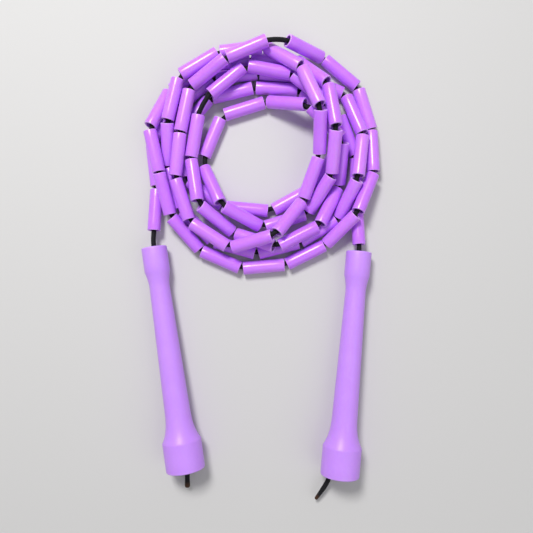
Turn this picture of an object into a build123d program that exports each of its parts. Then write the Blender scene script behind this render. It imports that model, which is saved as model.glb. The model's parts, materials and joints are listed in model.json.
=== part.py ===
"""Beaded jump rope, loosely coiled, with its two handles lying below the coil.

Millimetres. The origin is on the floor at the middle of the coil, +Z is up and the handles point to -Y.
A braided cord runs from the tail in the left handle, through its stopper knot and washer, through every
bead of the coil, and out through the right handle. Each bead is a loose tube that turns on the cord.
"""
from build123d import *
import math
import numpy as np
import os

# ---- cord -----------------------------------------------------------------------------------------
CORD_D = 4.5                 # braided cord
ARC_SHARE = 0.45             # share of the shorter run that each arc takes up

# ---- beads ----------------------------------------------------------------------------------------
BEAD_LENGTH = 38.1
BEAD_D = 12.0
BEAD_BORE = 8.8
BEAD_ROUND = 0.45            # rounding of the bead's rims
BEAD_PLAY = 0.15             # least space left between the rims of two beads where they pivot
REST_GAP = 0.35              # space between beads that lie on each other

# ---- handles --------------------------------------------------------------------------------------
HANDLE_LENGTH = 203.0
COLLAR_D = 23.0              # the thick front end
COLLAR_LENGTH = 22.0
NECK_D = 18.3                # the narrowest place, where the thumb rests
NECK_AT = 37.0               # from the front end
GRIP_D = 23.0                # the grip's thick end
BELL_D = 35.0                # the rear end
BELL_LENGTH = 26.0
FLARE_LENGTH = 25.0          # from the grip's thick end to the bell
GRIP_END = HANDLE_LENGTH - BELL_LENGTH - FLARE_LENGTH
HANDLE_ROUND = 1.2
COLLAR_SHOULDER = (-0.25, 1.0)   # direction in which the outline leaves the collar: inward, rearward
BELL_FLARE = (1.0, 1.6)          # direction in which the outline meets the bell: outward, rearward
FRONT_WALL = 4.0
HANDLE_BORE = 14.2           # straight bore behind the front wall
BELL_WALL = 3.0
HOLE_PLAY = 1.5              # the front hole is this much wider than the cord

# ---- washer and knot inside each handle ---------------------------------------------------------
WASHER_THICK = 1.2
WASHER_PLAY = 0.8            # on the diameter, both on the cord and in the bore
SEAT_GAP = 0.1               # between wall, washer and knot
KNOT_LENGTH = 13.0
KNOT_PLAY = 1.4              # on the diameter, in the bore

# ---- the coil: distance from its middle, eight to a turn ------------------------------------------
# Each row is one turn, clockwise from the left: left, upper left, top, upper right, right, lower right,
# bottom, lower left. The rope starts at the left lead and ends, half a turn on, at the right lead.
RADII = [
    [92, 90, 72, 88, 88, 87, 90, 92],
    [88, 94, 92, 71, 53, 57, 82, 89],
    [74, 83, 97, 107, 104, 101, 105, 103],
    [101, 98, 81, 80, 68, 67, 68, 54],
    [53, 52, 50, 52, 76, 80, 84, 70],
    [62, 67, 76, 76, 64, 52, 49, 60],
    [74, 70, 60, 66, 84, 97, 97, 97],
]
EIGHTH = 45.0                # degrees between the entries of a table
# Which bead lies over which where two cross: the higher number is the upper one.
RANKS = [
    [0.0, 0.0, 0.0, 1.0, 2.0, 2.0, 0.0, 0.0],
    [2.0, 4.0, 4.0, 6.0, 6.0, 7.0, 7.0, 4.5],
    [3.0, 4.5, 6.0, 4.0, 3.0, 3.0, 3.0, 3.0],
    [3.0, 2.0, 1.0, 4.0, 4.0, 4.0, 3.0, 3.0],
    [2.5, 3.0, 2.5, 2.0, 1.5, 2.5, 4.0, 4.0],
    [5.0, 4.5, 3.5, 3.0, 1.0, 1.5, 1.5, 1.0],
    [1.0, 2.0, 3.0, 2.0, 0.5, 0.0, 0.0, 0.0],
]
LEVEL = 8.0                  # starting height of each step of rank
SETTLE_STEPS = 1500
SETTLE_REST = 0.15           # last share of the steps, with nothing falling
SETTLE_PASSES = 3            # times that each step mends lengths and contacts
SETTLE_ROUNDS = 3            # times that the string settles, each with the lengths that its turns need
FALL = 0.12                  # drop per step
PLAN_PULL = 0.03             # share of a joint's drift in plan that each step takes back
CONTACT_PUSH = 1.6           # contacts are mended a little past touching, which settles the heap sooner
MOST_TURN = 50.0             # degrees that the string may turn at one joint
HALVINGS = 40                # steps of each search by halving
MOST_SWING = 120.0           # no bead spans more of the coil than this, in degrees
MOST_SLACK = 2.0             # most spare length shared out to each bead
COIL_START = -19.5           # degrees clockwise from the left, where the left lead joins the coil
COIL_END = 2367.5            # where the coil meets the right lead
# Bare cord shows where the beads hang apart: turning angle along the rope, and length of the gap
BARE = [(813.0, 15.0), (1430.0, 6.0), (1845.0, 18.0)]

# ---- where the handles lie ------------------------------------------------------------------------
LEFT_FRONT = (-98.6, -86.3)      # middle of the front end, seen from above
LEFT_TURN = 8.5                  # degrees that the rear end swings to +X
LEFT_BENDS = (5.0, 8.0)          # bare cord on each side of the bend between the handle and its lead bead
RIGHT_FRONT = (88.5, -90.4)
RIGHT_TURN = -5.2
RIGHT_BENDS = (3.0, 1.5)
LEAD_ARC = 24.0                  # arc radius of the cord where it enters a lead bead

LEFT_SLIDE = 6.0                 # how far the handle can be pushed up the cord to its lead bead
RIGHT_SLIDE = 2.0
TAIL_STRAIGHT = 21.6             # the tail leaves the knot straight for this length
# The cord further on: distance behind the handle's rear end, then to the side (+X) and up from the
# handle's axis, as shares of the room that the bell leaves round the cord
TAIL_ROOM = (BELL_D - CORD_D) / 2 - BELL_WALL
LEFT_TAIL = [(-121, 0.05, -0.15), (-81, -0.04, -0.29), (-43, 0.03, -0.33), (-15, 0.02, -0.73),
             (4, -0.05, -0.87), (20, -0.25, -0.98)]
RIGHT_TAIL = [(-121, -0.05, -0.13), (-81, 0.03, -0.29), (-45, -0.04, -0.33), (-16, -0.36, -0.65),
              (3, -0.57, -0.72), (16, -0.95, -0.95), (28, -1.5, -1.18)]
CORD_CLEAR = 0.2                 # least space between the cord and a bead's bore
BOW_SHARE = 0.45                 # share of each bend's bow that goes to the outside of the beads

OWN_NODES = 52                   # beads with a node of their own; the rest of the beads share one


# ---- small vector helpers ---------------------------------------------------------------------------
def between(a, b, share):
    return a + (b - a) * share


def turn_at(before, point, after):
    """Degrees by which a route turns at a point."""
    return (point - before).get_angle(after - point)


def inward(before, point, after):
    """Unit vector from a corner to the inside of its bend."""
    pull = (before - point).normalized() + (after - point).normalized()
    return pull.normalized() if pull.length > 1e-6 else Vector(0, 0, 0)


def arc_radius(before, point, after):
    half = math.radians(turn_at(before, point, after) / 2)
    return ARC_SHARE * min((point - before).length, (after - point).length) / math.tan(half)


# ---- the coil's curve ---------------------------------------------------------------------------------
def table_value(table, swing):
    """Value of a table at a turning angle, eased between its eighths of a turn."""
    flat = [value for row in table for value in row]
    place = min(max(swing / EIGHTH, -1.0), len(flat) - 1.0)
    index = min(math.floor(place), len(flat) - 2)
    share = place - index
    p = [flat[min(max(index + k, 0), len(flat) - 1)] for k in (-1, 0, 1, 2)]
    slope_in = (p[2] - p[0]) / 2
    slope_out = (p[3] - p[1]) / 2
    cubic = 2 * p[1] - 2 * p[2] + slope_in + slope_out
    square = -3 * p[1] + 3 * p[2] - 2 * slope_in - slope_out
    return ((cubic * share + square) * share + slope_in) * share + p[1]


def coil_point(swing):
    """Place in plan of a joint whose beads lie at the table's distance from the middle."""
    radius = math.hypot(table_value(RADII, swing), BEAD_LENGTH / 2)
    angle = math.radians(swing)
    return Vector(-radius * math.cos(angle), radius * math.sin(angle), 0)


def step_along(swing, distance):
    """The turning angle at which the coil is a given distance further on, measured straight."""
    here = coil_point(swing)
    low, high = swing, swing + MOST_SWING
    for _ in range(HALVINGS):
        middle = (low + high) / 2
        if (coil_point(middle) - here).length < distance:
            low = middle
        else:
            high = middle
    return low


def pivot_room(turn):
    """Length that a bead needs at one end so that its rim clears the next bead's."""
    return BEAD_D / 2 * math.tan(math.radians(turn / 2)) + BEAD_PLAY / 2


def bare_at(swing, step):
    return sum(length for place, length in BARE if abs(place - swing) <= step / 2)


def string_beads(slack):
    """Turning angles of the joints between beads, and the bare cord at each, for a given slack."""
    joints = [COIL_START]
    bares = [0.0]
    while joints[-1] < COIL_END:
        swing = joints[-1]
        step = math.degrees(BEAD_LENGTH / table_value(RADII, swing))
        ahead = bare_at(swing + step, step)
        distance = BEAD_LENGTH + 2 * pivot_room(step) + slack + (bares[-1] + ahead) / 2
        joints.append(step_along(swing, distance))
        bares.append(ahead)
    return joints, bares


def fit_beads():
    """String a whole number of beads on the coil, sharing the slack out so that the last joint fits."""
    count = len(string_beads(0.0)[0]) - 1
    low, high = 0.0, MOST_SLACK
    for _ in range(HALVINGS):
        slack = (low + high) / 2
        joints = string_beads(slack)[0]
        if len(joints) - 1 < count or joints[count - 1] > COIL_END:
            high = slack
        else:
            low = slack
    joints, bares = string_beads(low)
    return joints[:count], bares[:count]


# ---- settling: beads drop onto the floor and onto each other -----------------------------------------
def nearest_shares(a, b, c, d):
    """For rows of segments a-b and c-d, the shares along each at which they come nearest."""
    u, v, w = b - a, d - c, a - c
    uu, uv, vv = (u * u).sum(1), (u * v).sum(1), (v * v).sum(1)
    uw, vw = (u * w).sum(1), (v * w).sum(1)
    room = np.maximum(uu * vv - uv * uv, 1e-9)
    first = np.clip((uv * vw - vv * uw) / room, 0, 1)
    second = np.clip((uv * first + vw) / vv, 0, 1)
    first = np.clip((uv * second - uw) / uu, 0, 1)
    return first[:, None], second[:, None]


def settle(places, lengths, pinned):
    """Let a chain of joints fall from its starting heights until it lies at rest.

    Runs between joints keep their lengths, beads stay a rest gap apart and the floor holds them up.
    A weak pull keeps each joint near its place in plan, so the coil keeps its shape.
    """
    apart = BEAD_D + REST_GAP
    plan = places.copy()
    free = np.ones(len(places))
    free[pinned] = 0.0
    firsts, seconds = np.triu_indices(len(places) - 1, 2)
    for step in range(SETTLE_STEPS):
        falling = 1 - step / SETTLE_STEPS
        drop = FALL * min(1.0, 2 * falling) if falling > SETTLE_REST else 0.0
        places[:, 2] -= drop * free
        pull = PLAN_PULL if drop else 0.0
        places[:, :2] += (plan[:, :2] - places[:, :2]) * pull * free[:, None]
        for _ in range(SETTLE_PASSES):
            shift = np.zeros_like(places)
            share = np.full(len(places), 1e-9)
            run = places[1:] - places[:-1]
            size = np.linalg.norm(run, axis=1)
            push = run * ((size - lengths) / size / 2)[:, None]
            shift[:-1] += push
            shift[1:] -= push
            share[:-1] += 1
            share[1:] += 1
            span = places[2:] - places[:-2]
            size = np.linalg.norm(span, axis=1)
            least = (lengths[1:] + lengths[:-1]) * math.cos(math.radians(MOST_TURN / 2))
            push = span * (np.minimum(size - least, 0) / size / 2)[:, None]
            shift[:-2] += push
            shift[2:] -= push
            a, b = places[firsts], places[firsts + 1]
            c, d = places[seconds], places[seconds + 1]
            one, two = nearest_shares(a, b, c, d)
            gap = (a + (b - a) * one) - (c + (d - c) * two)
            size = np.linalg.norm(gap, axis=1)
            hit = size < apart
            push = gap[hit] * ((apart - size[hit]) / size[hit] / 2)[:, None]
            one, two = one[hit], two[hit]
            i, j = firsts[hit], seconds[hit]
            for index, weight in ((i, 1 - one), (i + 1, one), (j, two - 1), (j + 1, -two)):
                np.add.at(shift, index, push * weight * CONTACT_PUSH)
                np.add.at(share, index, np.abs(weight[:, 0]))
            places += shift / np.maximum(share, 1)[:, None] * free[:, None]
            places[:, 2] = np.maximum(places[:, 2], BEAD_D / 2)
    worst = (apart - size[hit]).max() if hit.any() else 0.0
    print("settled: worst closeness", round(float(worst), 4), "top", round(float(places[:, 2].max()), 1))
    return places


# ---- where the handles stand ---------------------------------------------------------------------------
BELL_FRONT = HANDLE_LENGTH - BELL_LENGTH
# A handle lies on the rim of its collar and on the front edge of its bell, so it slopes up to the rear
HANDLE_SLOPE = math.atan((BELL_D - COLLAR_D) / 2 / (BELL_FRONT - HANDLE_ROUND))


def handle_place(front, turn):
    """Plane at the middle of a handle's front end: Z runs to the rear, X to the side (+X) and Y up."""
    swing = math.radians(turn)
    rise = math.sin(HANDLE_SLOPE)
    reach = math.cos(HANDLE_SLOPE)
    height = COLLAR_D / 2 * reach - HANDLE_ROUND * rise
    rear = Vector(math.sin(swing) * reach, -math.cos(swing) * reach, rise)
    side = Vector(math.cos(swing), math.sin(swing), 0)
    return Plane(origin=(front[0], front[1], height), x_dir=side, z_dir=rear)


def on_handle(plane, along, aside, up):
    return plane.origin + plane.z_dir * along + plane.x_dir * aside + plane.y_dir * up


def tail_points(plane, tail):
    """Route of a tail, from where it has left the knot to its tip."""
    points = [on_handle(plane, KNOT_AT + KNOT_LENGTH + TAIL_STRAIGHT, 0, 0)]
    for behind, aside, up in tail:
        points.append(on_handle(plane, HANDLE_LENGTH + behind, aside * TAIL_ROOM, up * TAIL_ROOM))
    return points


LEFT_PLACE = handle_place(LEFT_FRONT, LEFT_TURN)
RIGHT_PLACE = handle_place(RIGHT_FRONT, RIGHT_TURN)
WASHER_AT = FRONT_WALL + SEAT_GAP
KNOT_AT = WASHER_AT + WASHER_THICK + SEAT_GAP


# ---- the whole string of beads -------------------------------------------------------------------------
def needed_lengths(places, bares):
    """Length of each run between joints: the bead, room to pivot at both ends, and any bare cord."""
    points = [Vector(*p) for p in places]
    room = [BEAD_PLAY / 2]
    room += [pivot_room(turn_at(*points[i - 1:i + 2])) for i in range(1, len(points) - 1)]
    room += [BEAD_PLAY / 2]
    ends = [r + bare / 2 for r, bare in zip(room, bares)]
    return ends, [BEAD_LENGTH + a + b for a, b in zip(ends, ends[1:])]


def bead_line():
    """Joints of the whole string, from the left lead to the right one, and the bare cord at each."""
    joints, bares = fit_beads()
    rows = []
    for swing in joints:
        plan = coil_point(swing)
        height = BEAD_D / 2 + LEVEL * max(0.0, table_value(RANKS, swing))
        rows.append((plan.X, plan.Y, height))
    left = on_handle(LEFT_PLACE, -LEFT_BENDS[0], 0, 0)
    right = on_handle(RIGHT_PLACE, -RIGHT_BENDS[0], 0, 0)
    places = np.array([tuple(left), *rows, tuple(right)])
    bares = [2 * LEFT_BENDS[1], *bares, 2 * RIGHT_BENDS[1]]
    lengths = np.linalg.norm(np.diff(places[:, :2], axis=0), axis=1)
    for _ in range(SETTLE_ROUNDS):
        places = settle(places, lengths, [0, len(places) - 1])
        lengths = np.maximum(lengths, needed_lengths(places, bares)[1])
    return [Vector(*p) for p in places], bares


def bead_places(line, bares):
    """Plane of each bead: at its middle, with Z along it."""
    ends = needed_lengths([tuple(p) for p in line], bares)[0]
    planes = []
    spare = []
    for index, (a, b) in enumerate(zip(line, line[1:])):
        length = (b - a).length
        left_over = length - BEAD_LENGTH - ends[index] - ends[index + 1]
        spare.append(left_over)
        middle = ends[index] + left_over / 2 + BEAD_LENGTH / 2
        planes.append(Plane(origin=between(a, b, middle / length), z_dir=b - a))
    print("beads", len(planes), "least spare length between rims", round(min(spare) + BEAD_PLAY, 2))
    return planes


def cord_route(line):
    """Route of the cord and the arc radius at each of its corners.

    The cord bows to the outside of the bends where it leaves a bead and to the inside at mid-joint,
    so that its arcs stay clear of the bores.
    """
    clear = (BEAD_BORE - CORD_D) / 2 - CORD_CLEAR
    corners = [line[0]]
    for before, point, after in zip(line, line[1:], line[2:]):
        half = math.radians(turn_at(before, point, after) / 2)
        bow = arc_radius(before, point, after) * (1 / math.cos(half) - 1)
        corners.append(point - inward(before, point, after) * min(bow * BOW_SHARE, clear))
    corners.append(line[-1])
    left = tail_points(LEFT_PLACE, LEFT_TAIL)[::-1]
    right = tail_points(RIGHT_PLACE, RIGHT_TAIL)
    route = left + corners + right
    leads = (len(left), len(route) - len(right) - 1)
    radii = []
    for index in range(1, len(route) - 1):
        before, point, after = route[index - 1:index + 2]
        radius = arc_radius(before, point, after)
        half = math.radians(turn_at(before, point, after) / 2)
        if leads[0] < index < leads[1]:
            radius = min(radius, clear / BOW_SHARE / (1 / math.cos(half) - 1))
        elif index in leads:
            radius = min(radius, LEAD_ARC)
        radii.append(radius)
    return route, radii


def cord_clearance(path, planes):
    """Least space between the cord and the wall of the bore that it runs through."""
    edges = path.edges()
    least = BEAD_BORE
    for index, plane in enumerate(planes):
        first = 2 * (len(LEFT_TAIL) + 1 + index) - 1
        for edge in edges[first:first + 3]:
            for share in (0, 0.25, 0.5, 0.75, 1):
                local = edge.position_at(share) - plane.origin
                along = local.dot(plane.z_dir)
                if abs(along) < BEAD_LENGTH / 2:
                    aside = (local - plane.z_dir * along).length
                    least = min(least, BEAD_BORE / 2 - CORD_D / 2 - aside)
    return least


# ---- the pieces --------------------------------------------------------------------------------------
def make_cord(route, radii):
    path = FilletPolyline(*route, radius=radii)
    section = Plane(origin=path @ 0, z_dir=path % 0) * Circle(CORD_D / 2)
    cord = sweep(section, path=path)
    expected = math.pi * CORD_D ** 2 / 4 * path.length
    print("cord length", round(path.length, 1), "share of expected volume", round(cord.volume / expected, 4))
    print("arc radii from", round(min(radii), 1), "to", round(max(radii), 1))
    return cord, path


def make_bead():
    tube = Cylinder(BEAD_D / 2, BEAD_LENGTH) - Cylinder(BEAD_BORE / 2, BEAD_LENGTH)
    return fillet(tube.edges().filter_by(GeomType.CIRCLE), BEAD_ROUND)


def rim(solid, radius, along):
    """The circular edge of a turned piece with a given radius and place along its axis."""
    return [edge for edge in solid.edges().filter_by(GeomType.CIRCLE)
            if abs(edge.radius - radius) < 0.01 and abs(edge.arc_center.Z - along) < 0.01]


def make_handle():
    """One moulded piece: front wall with the cord's hole, waisted grip, and an open bell at the rear."""
    hole = (CORD_D + HOLE_PLAY) / 2
    bore = HANDLE_BORE / 2
    bell_bore = BELL_D / 2 - BELL_WALL
    slope = ((GRIP_D - NECK_D) / 2, GRIP_END - NECK_AT)
    outer = Polyline((hole, 0), (COLLAR_D / 2, 0), (COLLAR_D / 2, COLLAR_LENGTH))
    outer += Spline((COLLAR_D / 2, COLLAR_LENGTH), (NECK_D / 2, NECK_AT), tangents=[COLLAR_SHOULDER, slope])
    outer += Line((NECK_D / 2, NECK_AT), (GRIP_D / 2, GRIP_END))
    outer += Spline((GRIP_D / 2, GRIP_END), (BELL_D / 2, BELL_FRONT), tangents=[slope, BELL_FLARE])
    outer += Polyline((BELL_D / 2, BELL_FRONT), (BELL_D / 2, HANDLE_LENGTH), (bell_bore, HANDLE_LENGTH),
                      (bell_bore, BELL_FRONT + BELL_WALL), (bore, GRIP_END), (bore, FRONT_WALL),
                      (hole, FRONT_WALL), (hole, 0))
    profile = Plane.XZ * make_face(outer.edges())
    shell = revolve(profile, Axis.Z)
    shell = fillet(rim(shell, COLLAR_D / 2, 0), HANDLE_ROUND)
    shell = fillet(rim(shell, BELL_D / 2, HANDLE_LENGTH), HANDLE_ROUND)
    shell = fillet(rim(shell, bell_bore, HANDLE_LENGTH) + rim(shell, hole, 0), HANDLE_ROUND / 2)
    return shell


def make_washer():
    outer = HANDLE_BORE - WASHER_PLAY
    ring = Cylinder(outer / 2, WASHER_THICK) - Cylinder((CORD_D + WASHER_PLAY) / 2, WASHER_THICK)
    return Pos(0, 0, WASHER_AT + WASHER_THICK / 2) * ring


def make_knot():
    """The stopper knot's outer shape, tight round the cord."""
    inner = CORD_D / 2
    belly = (HANDLE_BORE - KNOT_PLAY) / 2
    shoulder = between(inner, belly, 0.5)
    end = KNOT_AT + KNOT_LENGTH
    outline = Polyline((shoulder, end), (inner, end), (inner, KNOT_AT), (shoulder, KNOT_AT))
    outline += ThreePointArc((shoulder, KNOT_AT), (belly, (KNOT_AT + end) / 2), (shoulder, end))
    return revolve(Plane.XZ * make_face(outline.edges()), Axis.Z)


def bead_name(index):
    return f"bead_{index + 1:02d}"


def layout():
    """The joints of the bead line, the bare cord at each, and the plane of each bead."""
    line, bares = bead_line()
    return line, bares, bead_places(line, bares)


def build():
    line, bares, planes = layout()
    route, radii = cord_route(line)
    cord, path = make_cord(route, radii)
    print("cord clears the bores by", round(cord_clearance(path, planes), 2))
    nodes = {"cord": cord}
    bead = make_bead()
    beads = [plane * bead for plane in planes]
    for index, piece in enumerate(beads[:OWN_NODES]):
        nodes[bead_name(index)] = piece
    nodes["last_beads"] = Compound(children=beads[OWN_NODES:])
    for side, plane in (("left", LEFT_PLACE), ("right", RIGHT_PLACE)):
        nodes[f"{side}_handle"] = plane * make_handle()
        nodes[f"{side}_washer"] = plane * make_washer()
        nodes[f"{side}_knot"] = plane * make_knot()
    os.makedirs("parts", exist_ok=True)
    for name, shape in nodes.items():
        export_step(shape, f"parts/{name}.step")
    print("nodes", len(nodes))


if __name__ == "__main__":
    build()
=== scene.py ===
# %% [markdown]
# # A beaded jump rope, coiled on the floor
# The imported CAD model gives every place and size. This lesson gives the rope its looks: eighty-odd
# glossy tube beads, a black braided cord that shows between them, and two satin moulded handles.

# %% Load the frame
import bpy
import bmesh
import json
import math
import numpy as np
from mathutils import Matrix, Vector


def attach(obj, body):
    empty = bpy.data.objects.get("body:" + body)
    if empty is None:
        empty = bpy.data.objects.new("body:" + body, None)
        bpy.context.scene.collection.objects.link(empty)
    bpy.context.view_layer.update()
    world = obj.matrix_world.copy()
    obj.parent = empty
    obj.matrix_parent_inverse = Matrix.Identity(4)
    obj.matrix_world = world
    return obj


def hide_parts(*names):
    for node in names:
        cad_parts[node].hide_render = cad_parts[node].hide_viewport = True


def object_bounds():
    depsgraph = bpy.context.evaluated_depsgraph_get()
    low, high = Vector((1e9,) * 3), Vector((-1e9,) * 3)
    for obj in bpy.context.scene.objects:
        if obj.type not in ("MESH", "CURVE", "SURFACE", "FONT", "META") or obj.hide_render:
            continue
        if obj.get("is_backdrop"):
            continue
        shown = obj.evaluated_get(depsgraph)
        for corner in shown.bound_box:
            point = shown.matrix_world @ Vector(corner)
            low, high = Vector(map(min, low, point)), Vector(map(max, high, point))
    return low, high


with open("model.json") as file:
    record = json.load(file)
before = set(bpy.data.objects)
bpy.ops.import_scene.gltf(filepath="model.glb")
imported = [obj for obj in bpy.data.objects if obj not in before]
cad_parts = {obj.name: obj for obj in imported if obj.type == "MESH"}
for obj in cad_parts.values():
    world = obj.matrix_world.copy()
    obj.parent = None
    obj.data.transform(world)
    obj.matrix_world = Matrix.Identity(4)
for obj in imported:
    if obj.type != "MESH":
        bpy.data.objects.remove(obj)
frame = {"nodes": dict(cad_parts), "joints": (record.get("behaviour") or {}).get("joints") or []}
cad_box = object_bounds()
MM = 0.001

# %% [markdown]
# ## Camera, floor and light
# The rope is seen from straight above, a little over half a metre up, so the camera needs no turn.
# A long lens far away would flatten the heap of beads; this short distance shows the upper beads a
# little larger than the lower ones, as the eye does.

# %% Camera
CAMERA_PLACE = (0.0041, -0.1041, 0.550)
CAMERA_LENS = 39.85

camera_data = bpy.data.cameras.new("overhead_camera")
camera_data.lens = CAMERA_LENS
camera_data.sensor_width = 36.0
camera_data.clip_start = 0.01
camera = bpy.data.objects.new("overhead_camera", camera_data)
camera.location = CAMERA_PLACE
bpy.context.scene.collection.objects.link(camera)
bpy.context.scene.camera = camera

# %% [markdown]
# The floor is one big plain sheet. It is declared as the stage, because it isn't part of the rope.

# %% Floor
FLOOR_SIZE = 6.0


def new_object(name, data):
    made = bpy.data.objects.new(name, data)
    bpy.context.scene.collection.objects.link(made)
    return made


def mesh_from(bm, name):
    mesh = bpy.data.meshes.new(name)
    bm.to_mesh(mesh)
    bm.free()
    return mesh


def new_material(name):
    """A material with its node tree and its Principled shader."""
    material = bpy.data.materials.new(name)
    material.use_nodes = True
    tree = material.node_tree
    return material, tree, tree.nodes["Principled BSDF"]


bm = bmesh.new()
bmesh.ops.create_grid(bm, x_segments=1, y_segments=1, size=FLOOR_SIZE / 2)
floor = new_object("floor", mesh_from(bm, "floor"))
floor.location.z = -0.0002
floor_paint, tree, shader = new_material("pale_floor")
shader.inputs["Base Color"].default_value = (0.62, 0.61, 0.60, 1)
shader.inputs["Roughness"].default_value = 0.7
floor.data.materials.append(floor_paint)
floor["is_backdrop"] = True

# %% [markdown]
# Round glossy things are drawn by their highlights. One large soft lamp above and a little beyond
# the coil lays a bright line along every tube; a broad weak lamp and a pale sky fill the shadows.
# A filmic tone curve would pale this strong violet, so the plain display curve is used.

# %% Lights
def area_lamp(name, place, target, size, power):
    lamp = bpy.data.lights.new(name, "AREA")
    lamp.shape = "SQUARE"
    lamp.size = size
    lamp.energy = power
    made = new_object(name, lamp)
    made.location = place
    made.rotation_euler = (Vector(target) - Vector(place)).to_track_quat("-Z", "Y").to_euler()
    return made


area_lamp("key_lamp", (-0.35, 0.75, 1.35), (0, -0.05, 0), 0.40, 22)
area_lamp("fill_lamp", (0.9, -0.9, 1.3), (0, -0.1, 0), 1.6, 5.5)
bpy.context.scene.view_settings.view_transform = "Standard"
world = bpy.data.worlds.new("studio")
world.use_nodes = True
world.node_tree.nodes["Background"].inputs["Color"].default_value = (0.95, 0.97, 1.0, 1)
world.node_tree.nodes["Background"].inputs["Strength"].default_value = 0.37
bpy.context.scene.world = world

# %% [markdown]
# ## Where the beads lie
# Every bead of the frame is a plain tube. Its two end rings give its axis, so the looks need no
# list of places: they are read from the frame's own nodes. The last beads share one node, so their
# islands are told apart first and then put in order along the rope, each next to the one before.

# %% Read the beads' axes
def islands(mesh):
    """The vertices of a mesh, as one array for each separate solid."""
    bm = bmesh.new()
    bm.from_mesh(mesh)
    bmesh.ops.remove_doubles(bm, verts=bm.verts, dist=1e-6)
    found = []
    left = set(bm.verts)
    while left:
        queue = [left.pop()]
        group = []
        while queue:
            vertex = queue.pop()
            group.append(tuple(vertex.co))
            for edge in vertex.link_edges:
                other = edge.other_vert(vertex)
                if other in left:
                    left.remove(other)
                    queue.append(other)
        found.append(np.array(group))
    bm.free()
    return found


def tube_ends(points):
    """The middles of a tube's two ends."""
    middle = points.mean(0)
    axis = np.linalg.svd(points - middle, full_matrices=False)[2][0]
    for _ in range(3):
        along = (points - middle) @ axis
        reach = along.max() - along.min()
        first = points[along < along.min() + reach * 0.01].mean(0)
        last = points[along > along.max() - reach * 0.01].mean(0)
        axis = (last - first) / np.linalg.norm(last - first)
        middle = (first + last) / 2
    along = (points - middle) @ axis
    half = (along.max() - along.min()) / 2
    return Vector(middle - axis * half), Vector(middle + axis * half)


def in_order(before, ends):
    """The ends of each tube, turned and sorted so that they follow on from a point."""
    left = list(ends)
    sorted_ends = []
    while left:
        nearest = min(left, key=lambda pair: min((before - end).length for end in pair))
        left.remove(nearest)
        if (before - nearest[0]).length > (before - nearest[1]).length:
            nearest = (nearest[1], nearest[0])
        sorted_ends.append(nearest)
        before = nearest[1]
    return sorted_ends


own_names = sorted(name for name in frame["nodes"] if name.startswith("bead_"))
handle_joints = {j["child"]: j for j in frame["joints"] if j["name"].endswith("_handle_swivel")}
LEFT_FRONT = Vector(handle_joints["left_handle"]["pos_m"])
own_ends = []
before = LEFT_FRONT
for name in own_names:
    own_ends += in_order(before, [tube_ends(islands(frame["nodes"][name].data)[0])])
    before = own_ends[-1][1]
shared_ends = in_order(before, [tube_ends(points) for points in islands(frame["nodes"]["last_beads"].data)])
bead_ends = own_ends + shared_ends
print("beads", len(bead_ends), "of length", round((bead_ends[0][1] - bead_ends[0][0]).length / MM, 2), "mm")

# %% [markdown]
# ## Shared shader effects
# Two effects are used by more than one finish, so each is a node group. The first is the faint
# unevenness of moulded or extruded plastic: soft ripples, and short hairline scuffs from rubbing.
# It reads each piece's own place attribute, so that it stays with the piece when the piece turns.

# %% Plastic surface group
def group(name, inputs, outputs):
    tree = bpy.data.node_groups.new(name, "ShaderNodeTree")
    for label, kind, value in inputs:
        socket = tree.interface.new_socket(name=label, in_out="INPUT", socket_type=kind)
        if value is not None:
            socket.default_value = value
    for label, kind in outputs:
        tree.interface.new_socket(name=label, in_out="OUTPUT", socket_type=kind)
    return tree, tree.nodes.new("NodeGroupInput"), tree.nodes.new("NodeGroupOutput")


def node(tree, kind, values=(), **settings):
    """A new node with its settings, and constants set on its inputs by name or number."""
    made = tree.nodes.new(kind)
    for key, value in settings.items():
        setattr(made, key, value)
    for key, value in dict(values).items():
        made.inputs[key].default_value = value
    return made


def maths(tree, operation, first, second=None, third=None, clamp=False):
    """A Math node; numbers become constants and sockets are linked."""
    made = node(tree, "ShaderNodeMath", operation=operation, use_clamp=clamp)
    for index, value in enumerate((first, second, third)):
        if isinstance(value, (int, float)):
            made.inputs[index].default_value = value
        elif value is not None:
            tree.links.new(value, made.inputs[index])
    return made.outputs[0]


def blend_colours(tree, factor, first, second, mode="MIX"):
    """A colour mix; colours may be sockets or four numbers."""
    made = node(tree, "ShaderNodeMix", data_type="RGBA", blend_type=mode)
    for socket, value in ((made.inputs[0], factor), (made.inputs[6], first), (made.inputs[7], second)):
        if isinstance(value, (int, float, tuple)):
            socket.default_value = value
        else:
            tree.links.new(value, socket)
    return made.outputs[2]


def noise(tree, vector, scale, detail=3.0, stretch=(1.0, 1.0, 1.0)):
    mapping = node(tree, "ShaderNodeMapping", {"Scale": stretch})
    made = node(tree, "ShaderNodeTexNoise", {"Scale": scale, "Detail": detail})
    tree.links.new(vector, mapping.inputs["Vector"])
    tree.links.new(mapping.outputs[0], made.inputs["Vector"])
    return made.outputs["Fac"]


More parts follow.
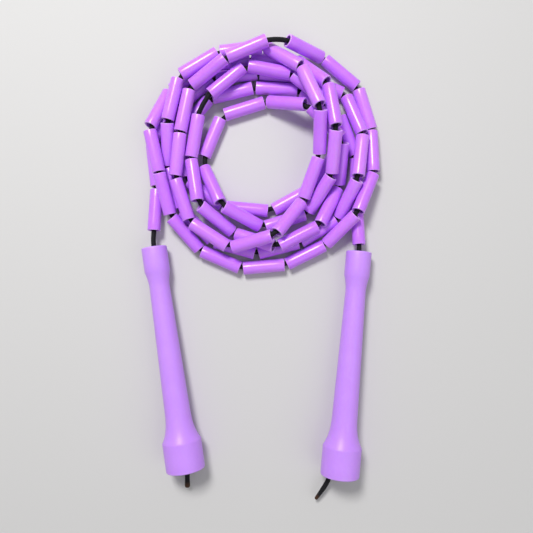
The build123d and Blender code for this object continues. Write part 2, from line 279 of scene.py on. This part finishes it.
plastic, enter, leave = group(
    "plastic_surface",
    [("Place", "NodeSocketVector", None),
     ("Ripple", "NodeSocketFloat", 0.5),
     ("Scuffs", "NodeSocketFloat", 0.5)],
    [("Height", "NodeSocketFloat"), ("Wear", "NodeSocketFloat"), ("Mottle", "NodeSocketFloat")])
place = enter.outputs["Place"]
lines = noise(plastic, place, 900.0, 2.0, (1.0, 1.0, 0.03))
waves = noise(plastic, place, 90.0, 2.0, (1.0, 1.0, 0.4))
rubs = noise(plastic, place, 700.0, 4.0, (1.0, 0.25, 0.5))
mottle = noise(plastic, place, 60.0, 3.0)
scuff = maths(plastic, "MULTIPLY", maths(plastic, "SUBTRACT", rubs, 0.60, clamp=True), 5.0, clamp=True)
scuff = maths(plastic, "MULTIPLY", scuff, enter.outputs["Scuffs"])
unevenness = maths(plastic, "ADD", maths(plastic, "MULTIPLY", lines, 0.35), waves)
ripple = maths(plastic, "MULTIPLY", unevenness, enter.outputs["Ripple"])
height = maths(plastic, "SUBTRACT", ripple, maths(plastic, "MULTIPLY", scuff, 0.2))
plastic.links.new(height, leave.inputs["Height"])
plastic.links.new(scuff, leave.inputs["Wear"])
plastic.links.new(mottle, leave.inputs["Mottle"])

# %% [markdown]
# The second is the braid. Sixteen yarns run round the cord, eight each way, and each passes over
# one and under the next. In the cord's own map, u runs once round it and v is the length in lays
# of the braid. The sums u+v and u-v then number the yarns of each family, and a chequerboard of
# the two tells which is on top. The fine lines along a yarn are its filaments.

# %% Braid group
YARNS = 8.0
braid, enter, leave = group(
    "braided_yarn", [("Map", "NodeSocketVector", None), ("Filaments", "NodeSocketFloat", 7.0)],
    [("Height", "NodeSocketFloat"), ("Sheen", "NodeSocketFloat")])
split = node(braid, "ShaderNodeSeparateXYZ")
braid.links.new(enter.outputs["Map"], split.inputs[0])
one_way = maths(braid, "MULTIPLY", maths(braid, "ADD", split.outputs[0], split.outputs[1]), YARNS)
other_way = maths(braid, "MULTIPLY", maths(braid, "SUBTRACT", split.outputs[0], split.outputs[1]), YARNS)
cells = maths(braid, "ADD", maths(braid, "FLOOR", one_way), maths(braid, "FLOOR", other_way))
on_top = maths(braid, "FLOORED_MODULO", cells, 2.0)
across = node(braid, "ShaderNodeMix", data_type="FLOAT")
braid.links.new(on_top, across.inputs[0])
braid.links.new(maths(braid, "FRACT", one_way), across.inputs[2])
braid.links.new(maths(braid, "FRACT", other_way), across.inputs[3])
filament = maths(braid, "MULTIPLY", across.outputs[0], enter.outputs["Filaments"])
turns = maths(braid, "MULTIPLY", filament, 2 * math.pi)
filaments = maths(braid, "MULTIPLY_ADD", maths(braid, "SINE", turns), 0.5, 0.5)
arch = maths(braid, "SINE", maths(braid, "MULTIPLY", across.outputs[0], math.pi))
braid.links.new(maths(braid, "MULTIPLY_ADD", filaments, 0.25, arch), leave.inputs["Height"])
# Painted sheen: this marks the raised middle of each yarn, where the cord's colour is painted lighter as if
# lit.
painted_sheen = maths(braid, "MULTIPLY", arch, maths(braid, "MULTIPLY_ADD", filaments, 0.5, 0.5))
braid.links.new(painted_sheen, leave.inputs["Sheen"])


def place_group(tree, shared, vector, **values):
    made = node(tree, "ShaderNodeGroup", node_tree=shared)
    tree.links.new(vector, made.inputs[0])
    for key, value in values.items():
        made.inputs[key].default_value = value
    return made


def add_bump(tree, shader, height, strength, distance):
    bump = node(tree, "ShaderNodeBump", {"Strength": strength, "Distance": distance})
    tree.links.new(height, bump.inputs["Height"])
    tree.links.new(bump.outputs[0], shader.inputs["Normal"])


# %% [markdown]
# ## Bead plastic
# The beads are cut from extruded polythene tube. The plastic is a strong violet, a little
# translucent, and glossy along its length, with fine draw lines. The saw leaves the end faces
# paler and rougher. A tone attribute gives each bead its own slight lightness.

# %% Bead material
def own_place(tree):
    return node(tree, "ShaderNodeAttribute", attribute_name="own_place").outputs["Vector"]


def tube_paint(name, light, dark, rim, end_at):
    material, tree, shader = new_material(name)
    place = own_place(tree)
    surface = place_group(tree, plastic, place, Ripple=0.5, Scuffs=0.6)
    tone = node(tree, "ShaderNodeAttribute", attribute_name="tone").outputs["Fac"]
    own_tone = maths(tree, "MULTIPLY", tone, 0.6)
    lightness = maths(tree, "MULTIPLY_ADD", surface.outputs["Mottle"], 0.5, own_tone)
    colour = blend_colours(tree, lightness, dark, light)
    split = node(tree, "ShaderNodeSeparateXYZ")
    tree.links.new(place, split.inputs[0])
    from_middle = maths(tree, "ABSOLUTE", split.outputs[2])
    cut = maths(tree, "DIVIDE", maths(tree, "SUBTRACT", from_middle, end_at - 0.0007), 0.0007, clamp=True)
    colour = blend_colours(tree, maths(tree, "MULTIPLY", cut, 0.75), colour, rim)
    tree.links.new(colour, shader.inputs["Base Color"])
    rough = maths(tree, "MULTIPLY_ADD", surface.outputs["Wear"], 0.25, 0.28)
    tree.links.new(maths(tree, "MULTIPLY_ADD", cut, 0.3, rough), shader.inputs["Roughness"])
    shader.inputs["Subsurface Weight"].default_value = 0.25
    shader.inputs["Subsurface Radius"].default_value = (0.6, 0.2, 1.0)
    shader.inputs["Subsurface Scale"].default_value = 0.002
    shader.inputs["Coat Weight"].default_value = 0.15
    shader.inputs["Coat Roughness"].default_value = 0.22
    add_bump(tree, shader, surface.outputs["Height"], 0.35, 0.0002)
    return material


BEAD_LENGTH = (bead_ends[0][1] - bead_ends[0][0]).length
bead_paint = tube_paint("violet_tube", (0.67, 0.245, 1.0, 1), (0.56, 0.165, 0.97, 1), (0.80, 0.50, 1.0, 1),
                        BEAD_LENGTH / 2)

# %% [markdown]
# ## The beads
# Each bead could keep its plain tube from the frame. A real one has a slightly uneven, knocked
# rim and a wall that bulges by a hair between its saw cuts. One outline is spun into a tube here,
# and every bead is a copy of it laid on its own axis and turned to its own angle.

# %% Bead outline
BEAD_RADIUS = 6.0 * MM
BORE_RADIUS = 4.4 * MM
RIM = 0.45 * MM
BORE_RIM = 0.6 * RIM
BEAD_SEGMENTS = 48


def spun(outline, segments):
    """A closed shell of revolution round Z from an outline of (radius, height) points."""
    bm = bmesh.new()
    ring = [bm.verts.new((radius, 0, height)) for radius, height in outline]
    edges = [bm.edges.new((a, b)) for a, b in zip(ring, ring[1:] + ring[:1])]
    bmesh.ops.spin(bm, geom=ring + edges, cent=(0, 0, 0), axis=(0, 0, 1), angle=2 * math.pi,
                   steps=segments, use_merge=True)
    bmesh.ops.remove_doubles(bm, verts=bm.verts, dist=1e-7)
    bmesh.ops.recalc_face_normals(bm, faces=bm.faces)
    return bm


def rounded(middle, radius, start, steps=3):
    """A quarter circle of an outline round its middle, from a start angle in degrees, turning left."""
    angles = [math.radians(start + 90 * k / steps) for k in range(steps + 1)]
    return [(middle[0] + radius * math.cos(a), middle[1] + radius * math.sin(a)) for a in angles]


def bead_outline(length):
    half = length / 2
    outer = rounded((BEAD_RADIUS - RIM, half - RIM), RIM, 0)
    outer += rounded((BORE_RADIUS + BORE_RIM, half - BORE_RIM), BORE_RIM, 90)
    inner = rounded((BORE_RADIUS + BORE_RIM, -half + BORE_RIM), BORE_RIM, 180)
    inner += rounded((BEAD_RADIUS - RIM, -half + RIM), RIM, 270)
    side = [(BEAD_RADIUS, half * t) for t in (-0.6, 0.0, 0.6)]
    return outer + [(BORE_RADIUS, 0.0)] + inner + side


rng = np.random.default_rng(11)
pattern_bead = spun(bead_outline(BEAD_LENGTH), BEAD_SEGMENTS)
bead_mesh = mesh_from(pattern_bead, "bead_pattern")
print("faces of a bead", len(bead_mesh.polygons))


# %% Lay the beads
OUT_OF_ROUND = 0.03 * MM
RIM_KNOCK = 0.05 * MM
FIRST_SEED = 100
TURN_OF_EACH = 2.399     # radians from one bead to the next, so that no two look alike
OWN_PLACE_STEP = 0.05    # metres between the beads' places in the plastic pattern


def uneven(points, seed):
    """A bead's points with its rims knocked a little and its wall very slightly out of round."""
    draw = np.random.default_rng(seed)
    angle = np.arctan2(points[:, 1], points[:, 0])
    end = np.clip(np.abs(points[:, 2]) / (BEAD_LENGTH / 2) * 4 - 3, 0, 1)
    oval = OUT_OF_ROUND * np.cos(2 * (angle - draw.uniform(0, 3.14)))
    knock = RIM_KNOCK * end * np.sin(3 * angle + draw.uniform(0, 6.28)) - RIM_KNOCK * end
    moved = points.copy()
    moved[:, :2] *= 1 + ((oval - OUT_OF_ROUND) / np.hypot(points[:, 0], points[:, 1]))[:, None]
    moved[:, 2] += knock * np.sign(points[:, 2])
    return moved


def bead_object(name, ends_list, first_index):
    """One object with a copy of the bead pattern on each axis given."""
    bm = bmesh.new()
    places, tones = [], []
    for offset, (start, end) in enumerate(ends_list):
        index = first_index + offset
        count = len(bm.verts)
        bm.from_mesh(bead_mesh)
        bm.verts.ensure_lookup_table()
        points = uneven(np.array([v.co for v in bm.verts[count:]]), FIRST_SEED + index)
        lie = (end - start).normalized().to_track_quat("Z", "Y").to_matrix().to_4x4()
        turn = lie @ Matrix.Rotation(index * TURN_OF_EACH, 4, "Z")
        stand = Matrix.Translation((start + end) / 2) @ turn
        for vertex, point in zip(bm.verts[count:], points):
            vertex.co = stand @ Vector(point)
        places.append(points + np.array([OWN_PLACE_STEP * index, 0, 0]))
        tones += [rng.uniform(0, 1)] * len(points)
    for face in bm.faces:
        face.smooth = True
    mesh = mesh_from(bm, name)
    place = mesh.attributes.new("own_place", "FLOAT_VECTOR", "POINT")
    place.data.foreach_set("vector", np.concatenate(places).ravel())
    tone = mesh.attributes.new("tone", "FLOAT", "POINT")
    tone.data.foreach_set("value", tones)
    mesh.materials.append(bead_paint)
    made = new_object(name, mesh)
    return made


for index, name in enumerate(own_names):
    made = bead_object("tube_" + name, [own_ends[index]], index)
    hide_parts(name)
    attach(made, name)
rest = bead_object("tube_last_beads", shared_ends, len(own_names))
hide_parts("last_beads")
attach(rest, "root")
print("beads laid", len(own_names) + len(shared_ends))

# %% [markdown]
# ## The cord
# The cord is one braided rope, from the melted tip behind the left handle's knot, up through
# every bead, to the tip behind the right knot. A cord threaded through tubes bends only where
# two tubes meet, so its control points are the joints between beads: the middle of the shortest
# line between two neighbouring axes. At a sharp bend it lies a little to the outside.

# %% Where the cord bends
CORD_D = 4.5 * MM
CLEAR = 1.95 * MM
HANDLE_LENGTH = 203.0
ARC_SHARE = 0.45         # radius of the cord's bend, as a share of the shorter run beside it
BOW_SHARE = 0.45         # how much of that bend's own bow the control point takes up
# Behind the handle's rear end in millimetres, then to the side (+X) and up, as shares of the bell's room
TAIL_ROOM = 12.25
TAIL_STRAIGHT = 21.6     # the tail leaves the knot straight for this length
KNOT_END = 18.4
LEFT_TAIL = [(-121, 0.05, -0.15), (-81, -0.04, -0.29), (-43, 0.03, -0.33), (-15, 0.02, -0.73),
             (4, -0.05, -0.87), (20, -0.25, -0.98)]
RIGHT_TAIL = [(-121, -0.05, -0.13), (-81, 0.03, -0.29), (-45, -0.04, -0.33), (-16, -0.36, -0.65),
              (3, -0.57, -0.72), (16, -0.95, -0.95), (28, -1.5, -1.18)]


def handle_frame(side):
    """A handle's front middle, and its directions to the rear, to the side and up."""
    joint = handle_joints[side + "_handle"]
    rear = Vector(joint["axis"]).normalized()
    aside = Vector((-rear.y, rear.x, 0)).normalized()
    if aside.x < 0:
        aside.negate()
    up = rear.cross(aside)
    if up.z < 0:
        up.negate()
    return Vector(joint["pos_m"]), rear, aside, up


def on_handle(side, along, to_side=0.0, upward=0.0):
    """A point of a handle's own space, given in millimetres."""
    front, rear, aside, up = handle_frame(side)
    return front + (rear * along + aside * to_side + up * upward) * MM


def tail_points(side, tail):
    """The places of the free cord behind a handle's knot."""
    points = [on_handle(side, KNOT_END + TAIL_STRAIGHT)]
    for behind, aside, up in tail:
        points.append(on_handle(side, HANDLE_LENGTH + behind, aside * TAIL_ROOM, up * TAIL_ROOM))
    return points


def meeting(first, second):
    """Middle of the shortest line between two bead axes that follow on."""
    (a, b), (c, d) = first, second
    u, v, w = (b - a).normalized(), (d - c).normalized(), b - c
    turn = u.dot(v)
    room = 1 - turn * turn
    if room < 1e-4:
        return (b + c) / 2
    along_first = (turn * v.dot(w) - u.dot(w)) / room
    along_second = (v.dot(w) - turn * u.dot(w)) / room
    return (b + u * along_first + c + v * along_second) / 2


corners = [on_handle("left", -5)]
corners += [meeting(a, b) for a, b in zip(bead_ends, bead_ends[1:])]
corners += [on_handle("right", -3)]
control = []
for index in range(1, len(corners) - 1):
    before, point, after = corners[index - 1:index + 2]
    run_in, run_out = (before - point).normalized(), (after - point).normalized()
    half = (math.pi - run_in.angle(run_out)) / 2
    shorter = min((before - point).length, (after - point).length)
    bow = ARC_SHARE * shorter / math.tan(max(half, 0.01)) * (1 / math.cos(half) - 1)
    inside = run_in + run_out
    inside = inside.normalized() if inside.length > 1e-6 else inside
    control.append(point - inside * min(bow * BOW_SHARE, CLEAR))
left_lead = (bead_ends[0][1] - bead_ends[0][0]).normalized()
right_lead = (bead_ends[-1][1] - bead_ends[-1][0]).normalized()
route = tail_points("left", LEFT_TAIL)[::-1] + [on_handle("left", 3), corners[0]]
route += [corners[0] + left_lead * 0.009] + control + [corners[-1] - right_lead * 0.006]
route += [corners[-1], on_handle("right", 3)] + tail_points("right", RIGHT_TAIL)
print("control points", len(route))

# %% [markdown]
# The route goes into a NURBS curve of order three, which never kinks and stays close to its
# points. The curve has no thickness: it is only the line that the braid is then laid along.

# %% Cord line
line_curve = bpy.data.curves.new("cord_line", "CURVE")
line_curve.dimensions = "3D"
spline = line_curve.splines.new("NURBS")
spline.points.add(len(route) - 1)
for point, stop in zip(spline.points, route):
    point.co = (*stop, 1.0)
spline.order_u = 3
spline.use_endpoint_u = True
line_curve.resolution_u = 24
spline.resolution_u = 24
line_object = bpy.data.objects.new("cord_line", line_curve)
line_mesh = bpy.data.meshes.new_from_object(line_object)
line_points = np.array([v.co for v in line_mesh.vertices])
piece_lengths = np.linalg.norm(np.diff(line_points, axis=0), axis=1)
run = np.concatenate([[0], np.cumsum(piece_lengths)])
CORD_LENGTH = float(run[-1])
print("cord length", round(CORD_LENGTH, 4), "m")

# %% [markdown]
# The braid is real relief where the cord shows: between beads, at the leads and at the tails.
# Inside a bead nobody sees it, so the rings of the tube are far apart there. The same
# chequerboard as in the shader decides which yarn is on top, and lifts it.

# %% Braided tube
ROUND = 48
LAY = 14 * MM
RELIEF = 0.2 * MM
FINE = 0.45 * MM
COARSE = 7 * MM
MARGIN = 2.5 * MM
HIDDEN_FROM, HIDDEN_TO = 20, 172     # stretch of a handle, in millimetres, where the cord is out of sight


def at_run(distance):
    return np.array([np.interp(distance, run, line_points[:, k]) for k in range(3)]).T


def run_beside(place):
    """The cord's run at its nearest point to a place."""
    return run[np.argmin(np.linalg.norm(line_points - np.array(place), axis=1))]


def hidden_stretches():
    """Stretches of the cord's run that lie inside a bead or deep inside a handle."""
    found = []
    for start, end in bead_ends:
        found.append((run_beside(start) + MARGIN, run_beside(end) - MARGIN))
    for side in ("left", "right"):
        ends = [run_beside(on_handle(side, along)) for along in (HIDDEN_FROM, HIDDEN_TO)]
        found.append((min(ends), max(ends)))
    return sorted(found)


def ring_places():
    """Where along the run the rings stand: close together except in the hidden stretches."""
    stops = []
    here = 0.0
    for start, end in hidden_stretches() + [(CORD_LENGTH, CORD_LENGTH)]:
        if start > here:
            stops.append(np.linspace(here, start, max(2, int((start - here) / FINE)), endpoint=False))
        if end > start:
            stops.append(np.linspace(start, end, max(2, int((end - start) / COARSE)), endpoint=False))
        here = max(here, end)
    stops.append([CORD_LENGTH])
    return np.unique(np.concatenate(stops))


def carried_frames(points):
    """Tangents and a normal carried along without twisting."""
    tangents = np.gradient(points, axis=0)
    tangents /= np.linalg.norm(tangents, axis=1)[:, None]
    normal = np.cross(tangents[0], (0, 0, 1.0))
    normals = []
    for tangent in tangents:
        normal = normal - tangent * normal.dot(tangent)
        normal /= np.linalg.norm(normal)
        normals.append(normal)
    return tangents, np.array(normals)


def yarn_height(around, lays):
    """Height of the braid from 0 to 1, from the turn round the cord and the length in lays."""
    one, other = YARNS * (around + lays), YARNS * (around - lays)
    top = (np.floor(one) + np.floor(other)) % 2
    across = np.where(top < 0.5, one % 1, other % 1)
    over = np.where(top < 0.5, other % 1, one % 1)
    return 0.65 * np.sqrt(np.sin(np.pi * across)) + 0.35 * np.sin(np.pi * over)


def round_tip(from_end, length):
    """Thickness towards a closed tip, as the share of a round end of a given length."""
    return np.sqrt(np.clip(1 - (1 - np.clip(from_end / length, 0, 1)) ** 2, 0.02, 1))


def braided_tube(name, points, stops, radius, taper=None, lay=LAY):
    """A tube of rings along points, with the braid raised on it and rounded, closed ends."""
    tangents, normals = carried_frames(points)
    sides = np.cross(tangents, normals)
    around = np.arange(ROUND) / ROUND
    lays = stops / lay
    height = yarn_height(around[None, :], lays[:, None])
    size = radius - RELIEF * (1 - height)
    if taper is not None:
        size = size * taper[:, None]
    turn = 2 * np.pi * around
    ring = normals[:, None, :] * np.cos(turn)[None, :, None]
    ring = ring + sides[:, None, :] * np.sin(turn)[None, :, None]
    cloud = points[:, None, :] + ring * size[:, :, None]
    bm = bmesh.new()
    uv = bm.loops.layers.uv.new("braid_map")
    rows = [[bm.verts.new(p) for p in row] for row in cloud]
    for index, (low, high) in enumerate(zip(rows, rows[1:])):
        for k in range(ROUND):
            m = (k + 1) % ROUND
            face = bm.faces.new((low[k], low[m], high[m], high[k]))
            face.smooth = True
            values = ((k, index), (k + 1, index), (k + 1, index + 1), (k, index + 1))
            for loop, (u, v) in zip(face.loops, values):
                loop[uv].uv = (u / ROUND, lays[v])
    for row, centre, flip in ((rows[0], points[0], True), (rows[-1], points[-1], False)):
        tip = bm.verts.new(centre)
        for k in range(ROUND):
            pair = (row[k], row[(k + 1) % ROUND])
            face = bm.faces.new((pair[1], pair[0], tip) if flip else (pair[0], pair[1], tip))
            face.smooth = True
            for loop in face.loops:
                loop[uv].uv = (k / ROUND, lays[0 if flip else -1])
    bmesh.ops.recalc_face_normals(bm, faces=bm.faces)
    mesh = mesh_from(bm, name)
    return new_object(name, mesh)


TIP = 1.6 * MM
BULGE, BULGE_AT, BULGE_WIDTH = 0.13, 3.5 * MM, 3 * MM     # the drop of melted yarn at the left tip
THINNING, THIN_LENGTH = 0.3, 14 * MM                      # the right tip, drawn out while it was hot
MELT_LENGTH = 9 * MM
stops = ring_places()
points = at_run(stops)
from_end = np.minimum(stops, CORD_LENGTH - stops)
taper = round_tip(from_end, TIP)
taper *= 1 + BULGE * np.exp(-((stops - BULGE_AT) / BULGE_WIDTH) ** 2)
taper *= 1 - THINNING * np.clip(1 - (CORD_LENGTH - stops) / THIN_LENGTH, 0, 1)
cord = braided_tube("braided_cord", points, stops, CORD_D / 2, taper)
melt = cord.data.attributes.new("melt", "FLOAT", "POINT")
near_tip = np.repeat(np.clip(1 - from_end / MELT_LENGTH, 0, 1), ROUND)
melt.data.foreach_set("value", np.concatenate([near_tip, [1.0, 1.0]]))
print("cord rings", len(stops), "faces", len(cord.data.polygons))

# %% [markdown]
# The yarn is black polyester. Its colour has a painted sheen: the tops of the yarns are painted a
# dull grey, where light would catch them. The tips were sealed with a flame, which leaves them brown-black
# and glassy.

# %% Cord material
def cord_paint(name, melted):
    material, tree, shader = new_material(name)
    mapped = node(tree, "ShaderNodeUVMap", uv_map="braid_map").outputs[0]
    yarn = place_group(tree, braid, mapped)
    # Painted sheen: the yarn tops are painted a lighter grey, in patches from this noise, and are made a
    # little smoother.
    sheen_patches = noise(tree, node(tree, "ShaderNodeTexCoord").outputs["Object"], 350.0, 4.0)
    painted_sheen = maths(tree, "MULTIPLY", yarn.outputs["Sheen"], maths(tree, "ADD", sheen_patches, 0.3))
    colour = blend_colours(tree, painted_sheen, (0.003, 0.003, 0.004, 1), (0.022, 0.021, 0.025, 1))
    rough = maths(tree, "MULTIPLY_ADD", painted_sheen, -0.15, 0.7)
    if melted:
        burnt = node(tree, "ShaderNodeAttribute", attribute_name="melt").outputs["Fac"]
        burnt = maths(tree, "MULTIPLY_ADD", burnt, 3.0, -0.8, clamp=True)
        colour = blend_colours(tree, burnt, colour, (0.060, 0.027, 0.014, 1))
        rough = maths(tree, "MULTIPLY_ADD", burnt, -0.35, rough)
    tree.links.new(colour, shader.inputs["Base Color"])
    tree.links.new(rough, shader.inputs["Roughness"])
    shader.inputs["Sheen Weight"].default_value = 0.04
    shader.inputs["Specular IOR Level"].default_value = 0.18
    shader.inputs["Sheen Roughness"].default_value = 0.4
    add_bump(tree, shader, yarn.outputs["Height"], 0.5, 0.0002)
    return material


cord.data.materials.append(cord_paint("black_braid", True))
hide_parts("cord")
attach(cord, "root")

# %% [markdown]
# ## Stopper knots
# Behind each washer the cord is tied in a barrel knot: it wraps round itself three times, so
# the bare core with a close helix of the same cord round it has the knot's true outside.

# %% Stopper knots
KNOT_START = 5.6
KNOT_LENGTH = 12.6
WRAP_D = 3.9 * MM
KNOT_REACH = 6.3 * MM
WRAPS = 2.9
WRAP_POINTS = 150
WRAP_TIP = 1.5 * MM
WRAP_SINK, SINK_SHARE = 1.2 * MM, 0.06     # the wraps' two ends dip under, over this share of them


def knot_wraps(side):
    """The helix of cord wrapped round the core, on the handle's axis."""
    front, rear, aside, up = handle_frame(side)
    share = np.linspace(0, 1, WRAP_POINTS)
    centre = KNOT_REACH - WRAP_D / 2
    start = (KNOT_START + WRAP_D / MM / 2) * MM
    travel = KNOT_LENGTH * MM - WRAP_D
    angle = 2 * np.pi * WRAPS * share
    sink = np.clip(np.minimum(share, 1 - share) / SINK_SHARE, 0, 1)
    reach = centre - WRAP_SINK * (1 - sink)
    base = np.array(front) + np.outer(start + travel * share, np.array(rear))
    sideways = np.outer(reach * np.cos(angle), np.array(aside))
    points = base + (sideways + np.outer(reach * np.sin(angle), np.array(up)))
    along = np.concatenate([[0], np.cumsum(np.linalg.norm(np.diff(points, axis=0), axis=1))])
    taper = round_tip(np.minimum(along, along[-1] - along), WRAP_TIP)
    return braided_tube(side + "_stopper_wraps", points, along, WRAP_D / 2, taper, LAY * 0.8)


knot_paint = cord_paint("black_braid_knot", False)
for side in ("left", "right"):
    wraps = knot_wraps(side)
    wraps.data.materials.append(knot_paint)
    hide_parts(side + "_knot")
    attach(wraps, "root")

# %% [markdown]
# ## Handles
# Each handle is one moulding: a thick collar in front, a waist for the thumb, a grip that grows
# towards the rear, and an open bell. The outline is spun round the handle's axis. The two
# halves of the mould leave a fine raised line on both sides, which the spun shell gets by
# lifting the two rows of points that lie on the parting plane.

# %% Handle outline
COLLAR, COLLAR_LENGTH = 11.5, 22.0
NECK, NECK_AT, GRIP, GRIP_END = 9.15, 37.0, 11.5, 152.0
BELL, BELL_LENGTH, BELL_WALL, EDGE = 17.5, 26.0, 3.0, 1.2
FRONT_WALL, BORE, HOLE = 4.0, 7.1, 3.0
HOLE_EDGE = 0.6
HANDLE_SEGMENTS = 96
PARTING_LIFT = 0.09 * MM
PARTING_FROM, PARTING_TO, PARTING_RADIUS = 3 * MM, 199 * MM, 8.6 * MM     # only on the outer skin


def hermite(start, end, leave_slope, arrive_slope, count):
    """Points between two outline points, leaving and arriving in the directions given."""
    span = math.dist(start, end)
    found = []
    for k in range(1, count):
        t = k / count
        weights = (2 * t ** 3 - 3 * t ** 2 + 1, t ** 3 - 2 * t ** 2 + t,
                   3 * t ** 2 - 2 * t ** 3, t ** 3 - t ** 2)
        point = []
        for axis in (0, 1):
            out = leave_slope[axis] / math.hypot(*leave_slope) * span
            into = arrive_slope[axis] / math.hypot(*arrive_slope) * span
            point.append(weights[0] * start[axis] + weights[1] * out
                         + weights[2] * end[axis] + weights[3] * into)
        found.append(tuple(point))
    return found


def handle_outline():
    """Radius and distance from the front, all in millimetres, round the wall of the handle."""
    bell_front = HANDLE_LENGTH - BELL_LENGTH
    slope = (GRIP - NECK, GRIP_END - NECK_AT)
    outline = [(HOLE, HOLE_EDGE)] + rounded((HOLE + HOLE_EDGE, HOLE_EDGE), HOLE_EDGE, 180)[1:]
    outline += rounded((COLLAR - EDGE, EDGE), EDGE, 270, 5)
    outline += [(COLLAR, 8.0), (COLLAR, 15.0), (COLLAR, COLLAR_LENGTH)]
    outline += hermite((COLLAR, COLLAR_LENGTH), (NECK, NECK_AT), (-0.25, 1), slope, 9)
    outline += [(NECK + (GRIP - NECK) * k / 12, NECK_AT + (GRIP_END - NECK_AT) * k / 12) for k in range(13)]
    outline += hermite((GRIP, GRIP_END), (BELL, bell_front), slope, (1, 1.6), 9)
    outline += [(BELL, bell_front), (BELL, bell_front + 0.4), (BELL, bell_front + 8), (BELL, bell_front + 16)]
    outline += rounded((BELL - EDGE, HANDLE_LENGTH - EDGE), EDGE, 0, 5)
    bell_bore = BELL - BELL_WALL
    outline += rounded((bell_bore + HOLE_EDGE, HANDLE_LENGTH - HOLE_EDGE), HOLE_EDGE, 90)
    outline += [(bell_bore, bell_front + BELL_WALL), (BORE, GRIP_END), (BORE, 80.0),
                (BORE, FRONT_WALL), (HOLE, FRONT_WALL)]
    return outline


def moulded_handle(side):
    bm = spun([(r * MM, z * MM) for r, z in handle_outline()], HANDLE_SEGMENTS)
    front, rear, aside, up = handle_frame(side)
    places = []
    stand = Matrix((aside, up, rear)).transposed().to_4x4()
    stand.translation = front
    for vertex in bm.verts:
        x, y, z = vertex.co
        radius = math.hypot(x, y)
        outside = PARTING_FROM < z < PARTING_TO and radius > PARTING_RADIUS
        if outside and abs(y) < 0.02 * MM:
            vertex.co.x *= 1 + PARTING_LIFT / radius
        places.append(tuple(vertex.co))
    bmesh.ops.transform(bm, matrix=stand, verts=bm.verts)
    if stand.determinant() < 0:
        bmesh.ops.reverse_faces(bm, faces=bm.faces)
    for face in bm.faces:
        face.smooth = True
    mesh = mesh_from(bm, side + "_grip")
    mesh.set_sharp_from_angle(angle=math.radians(38))
    place = mesh.attributes.new("own_place", "FLOAT_VECTOR", "POINT")
    place.data.foreach_set("vector", np.array(places).ravel())
    return new_object(side + "_grip", mesh)


# %% [markdown]
# The handle plastic is the same violet, but satin: the mould was lightly blasted, so the
# highlights are broad and soft, with a fine even grain. Edges and the bell's rim are rubbed paler.

# %% Handle material
handle_paint, tree, shader = new_material("violet_satin_moulding")
place = own_place(tree)
surface = place_group(tree, plastic, place, Ripple=0.25, Scuffs=0.5)
split = node(tree, "ShaderNodeSeparateXYZ")
tree.links.new(place, split.inputs[0])
colour = blend_colours(tree, surface.outputs["Mottle"], (0.56, 0.26, 0.92, 1), (0.62, 0.30, 0.98, 1))
rear_rim = maths(tree, "DIVIDE", maths(tree, "SUBTRACT", split.outputs[2], 0.2005), 0.0025, clamp=True)
front_rim = maths(tree, "DIVIDE", maths(tree, "SUBTRACT", 0.0015, split.outputs[2]), 0.0015, clamp=True)
rubbed = maths(tree, "MULTIPLY", maths(tree, "MAXIMUM", rear_rim, front_rim), 0.35)
worn = maths(tree, "MAXIMUM", rubbed, maths(tree, "MULTIPLY", surface.outputs["Wear"], 0.25))
colour = blend_colours(tree, worn, colour, (0.70, 0.45, 1.0, 1))
tree.links.new(colour, shader.inputs["Base Color"])
tree.links.new(maths(tree, "MULTIPLY_ADD", surface.outputs["Wear"], 0.15, 0.42), shader.inputs["Roughness"])
grain = noise(tree, place, 2600.0, 2.0)
height = maths(tree, "MULTIPLY_ADD", grain, 0.35, surface.outputs["Height"])
shader.inputs["Subsurface Weight"].default_value = 0.12
shader.inputs["Subsurface Radius"].default_value = (0.6, 0.25, 1.0)
shader.inputs["Subsurface Scale"].default_value = 0.002
add_bump(tree, shader, height, 0.3, 0.0002)

# %% Handles
for side in ("left", "right"):
    grip = moulded_handle(side)
    grip.data.materials.append(handle_paint)
    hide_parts(side + "_handle")
    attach(grip, side + "_handle")
    print(grip.name, "faces", len(grip.data.polygons))

# %% [markdown]
# ## Washers
# A plain zinc-plated washer sits between each knot and the handle's front wall. Its shape from
# the frame is already right, so it only gets a metal finish, faintly mottled and with a fine grain.

# %% Washer material
washer_paint, tree, shader = new_material("zinc_washer")
spot = node(tree, "ShaderNodeTexCoord").outputs["Object"]
grime = noise(tree, spot, 900.0, 4.0)
zinc = blend_colours(tree, grime, (0.42, 0.43, 0.45, 1), (0.66, 0.66, 0.68, 1))
tree.links.new(zinc, shader.inputs["Base Color"])
tree.links.new(maths(tree, "MULTIPLY_ADD", grime, 0.25, 0.25), shader.inputs["Roughness"])
shader.inputs["Metallic"].default_value = 1.0
add_bump(tree, shader, noise(tree, spot, 3000.0, 2.0), 0.2, 0.0001)
for side in ("left", "right"):
    washer = frame["nodes"][side + "_washer"]
    washer.data.materials.clear()
    washer.data.materials.append(washer_paint)

# %% [markdown]
# ## Size
# The looks should fill the same box as the frame, so the sizes of both boxes are printed.

# %% Sizes
look_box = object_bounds()
for label, (low, high) in (("cad", cad_box), ("look", look_box)):
    print(label, "size in mm", [round((b - a) / MM, 1) for a, b in zip(low, high)])
